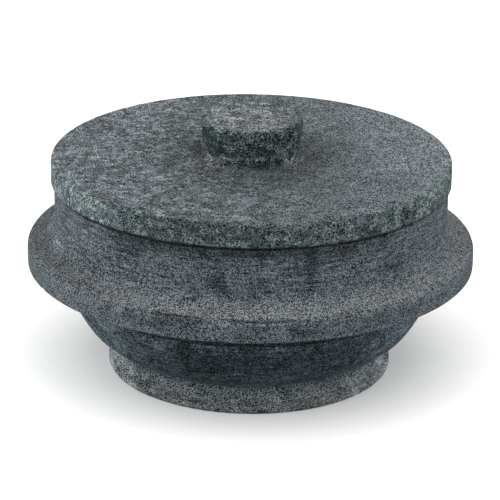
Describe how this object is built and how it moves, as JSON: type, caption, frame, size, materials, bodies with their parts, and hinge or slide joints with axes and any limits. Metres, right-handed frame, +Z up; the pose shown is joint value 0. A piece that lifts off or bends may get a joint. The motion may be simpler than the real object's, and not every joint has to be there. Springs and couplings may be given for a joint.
{
  "type": "lidded stone pot",
  "caption": "Round pot turned from soft grey stone, with a flared foot, a wide flange round its middle and a flat lift-off lid with its own round knob; holds heat for food or warm stones.",
  "frame": {"origin": "centre of the foot's resting face, on the axis that the pot and the lid were turned on", "axes": "+Z up along the turning axis, from the foot to the knob; X and Y are any two horizontal directions, because the object is round"},
  "size_m": [0.205, 0.205, 0.1184],
  "materials": {
    "pot_stone": "matt, finely turned, with bluish grey mottling",
    "lid_stone": "matt, finely turned, grey with pale flecks and greener edges"
  },
  "bodies": {
    "pot": {"stone_pot": "pot_stone"},
    "lid": {"stone_lid": "lid_stone"}
  },
  "joints": [
    {"name": "lid_lift", "type": "slide", "parent": "pot", "child": "lid", "axis": [0, 0, 1], "range_m": [0, 0.06]}
  ]
}
